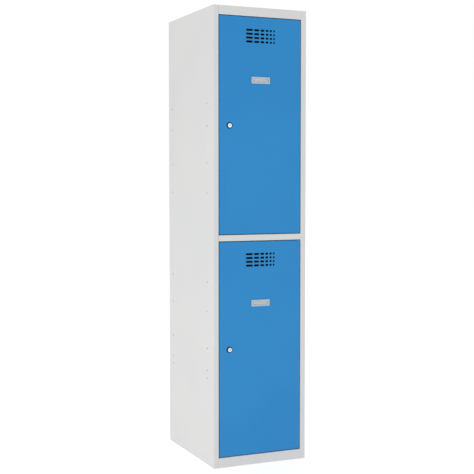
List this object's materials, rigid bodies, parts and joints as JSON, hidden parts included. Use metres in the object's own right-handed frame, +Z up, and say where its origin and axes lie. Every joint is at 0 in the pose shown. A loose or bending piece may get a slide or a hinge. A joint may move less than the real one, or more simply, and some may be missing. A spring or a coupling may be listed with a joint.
{
  "type": "school locker",
  "caption": "Tall narrow steel locker with equal lockable doors one above the other, louvred vent slots, card holders, and a coat rail with sliding hooks in each compartment.",
  "frame": {"origin": "middle of the carcass's footprint, on the floor", "axes": "+Z up, -Y towards the front with the doors, +X to the right seen from the front (the hinge side)"},
  "size_m": [0.4, 0.5053, 1.8],
  "materials": {
    "grey_powder_coat": "light grey powder coat, satin, fine orange peel",
    "blue_powder_coat": "light blue powder coat, satin, fine orange peel",
    "zinc_plated_steel": "bright zinc plate",
    "rail_steel": "chromed steel tube",
    "chrome_plate": "polished chrome plate",
    "black_plastic": "black moulded plastic, semi-gloss",
    "foot_plastic": "black moulded nylon pad on a zinc-plated stud",
    "bumper_rubber": "matt black rubber",
    "nylon": "black moulded nylon",
    "holder_plastic": "light grey moulded plastic",
    "clear_plastic": "clear flexible plastic sheet",
    "card": "blank uncoated card"
  },
  "bodies": {
    "carcass": {"left_side_panel": "grey_powder_coat", "right_side_panel": "grey_powder_coat", "back_panel": "grey_powder_coat", "top_panel": "grey_powder_coat", "top_front_rail": "grey_powder_coat", "divider_rail": "grey_powder_coat", "divider_shelf": "grey_powder_coat", "divider_rivets": "grey_powder_coat", "base_panel": "grey_powder_coat", "bottom_front_rail": "grey_powder_coat", "front_base_channel": "grey_powder_coat", "rear_base_channel": "grey_powder_coat", "foot_rivet_nuts": "zinc_plated_steel", "hinge_bushes": "nylon", "door_bumpers": "bumper_rubber", "upper_coat_rail": "rail_steel", "upper_rail_brackets": "grey_powder_coat", "lower_coat_rail": "rail_steel", "lower_rail_brackets": "grey_powder_coat"},
    "upper_door": {"upper_door_panel": "blue_powder_coat", "upper_door_stiffener": "blue_powder_coat", "upper_hinge_brackets": "zinc_plated_steel", "upper_door_top_pin": "zinc_plated_steel", "upper_door_bottom_pin": "zinc_plated_steel", "upper_card_holder": "holder_plastic", "upper_card_cover": "clear_plastic", "upper_lock_bezel": "black_plastic", "upper_lock_body": "chrome_plate", "upper_lock_nut": "zinc_plated_steel"},
    "upper_lock": {"upper_lock_plug": "chrome_plate", "upper_lock_cam": "zinc_plated_steel", "upper_cam_screw": "zinc_plated_steel"},
    "upper_name_card": {"upper_card": "card"},
    "upper_hook_left": {"upper_left_hook": "chrome_plate"},
    "upper_hook_right": {"upper_right_hook": "chrome_plate"},
    "lower_door": {"lower_door_panel": "blue_powder_coat", "lower_door_stiffener": "blue_powder_coat", "lower_hinge_brackets": "zinc_plated_steel", "lower_door_top_pin": "zinc_plated_steel", "lower_door_bottom_pin": "zinc_plated_steel", "lower_card_holder": "holder_plastic", "lower_card_cover": "clear_plastic", "lower_lock_bezel": "black_plastic", "lower_lock_body": "chrome_plate", "lower_lock_nut": "zinc_plated_steel"},
    "lower_lock": {"lower_lock_plug": "chrome_plate", "lower_lock_cam": "zinc_plated_steel", "lower_cam_screw": "zinc_plated_steel"},
    "lower_name_card": {"lower_card": "card"},
    "lower_hook_left": {"lower_left_hook": "chrome_plate"},
    "lower_hook_right": {"lower_right_hook": "chrome_plate"},
    "front_left_leveller": {"front_left_foot": "foot_plastic"},
    "front_right_leveller": {"front_right_foot": "foot_plastic"},
    "rear_left_leveller": {"rear_left_foot": "foot_plastic"},
    "rear_right_leveller": {"rear_right_foot": "foot_plastic"}
  },
  "joints": [
    {"name": "upper_door_swing", "type": "hinge", "parent": "carcass", "child": "upper_door", "pos_m": [0.166, -0.2435, 1.33975], "axis": [0, 0, 1], "range_deg": [0, 110]},
    {"name": "upper_lock_turn", "type": "hinge", "parent": "upper_door", "child": "upper_lock", "pos_m": [-0.133, -0.25, 1.33975], "axis": [0, 1, 0], "range_deg": [0, 90]},
    {"name": "upper_card_slide", "type": "slide", "parent": "upper_door", "child": "upper_name_card", "axis": [1, 0, 0], "range_m": [0, 0.08]},
    {"name": "upper_left_hook_slide", "type": "slide", "parent": "carcass", "child": "upper_hook_left", "axis": [1, 0, 0], "range_m": [-0.1, 0.03]},
    {"name": "upper_right_hook_slide", "type": "slide", "parent": "carcass", "child": "upper_hook_right", "axis": [1, 0, 0], "range_m": [-0.03, 0.1]},
    {"name": "lower_door_swing", "type": "hinge", "parent": "carcass", "child": "lower_door", "pos_m": [0.166, -0.2435, 0.46525], "axis": [0, 0, 1], "range_deg": [0, 110]},
    {"name": "lower_lock_turn", "type": "hinge", "parent": "lower_door", "child": "lower_lock", "pos_m": [-0.133, -0.25, 0.46525], "axis": [0, 1, 0], "range_deg": [0, 90]},
    {"name": "lower_card_slide", "type": "slide", "parent": "lower_door", "child": "lower_name_card", "axis": [1, 0, 0], "range_m": [0, 0.08]},
    {"name": "lower_left_hook_slide", "type": "slide", "parent": "carcass", "child": "lower_hook_left", "axis": [1, 0, 0], "range_m": [-0.1, 0.03]},
    {"name": "lower_right_hook_slide", "type": "slide", "parent": "carcass", "child": "lower_hook_right", "axis": [1, 0, 0], "range_m": [-0.03, 0.1]},
    {"name": "front_left_foot_height", "type": "slide", "parent": "carcass", "child": "front_left_leveller", "axis": [0, 0, 1], "range_m": [-0.015, 0]},
    {"name": "front_right_foot_height", "type": "slide", "parent": "carcass", "child": "front_right_leveller", "axis": [0, 0, 1], "range_m": [-0.015, 0]},
    {"name": "rear_left_foot_height", "type": "slide", "parent": "carcass", "child": "rear_left_leveller", "axis": [0, 0, 1], "range_m": [-0.015, 0]},
    {"name": "rear_right_foot_height", "type": "slide", "parent": "carcass", "child": "rear_right_leveller", "axis": [0, 0, 1], "range_m": [-0.015, 0]}
  ]
}
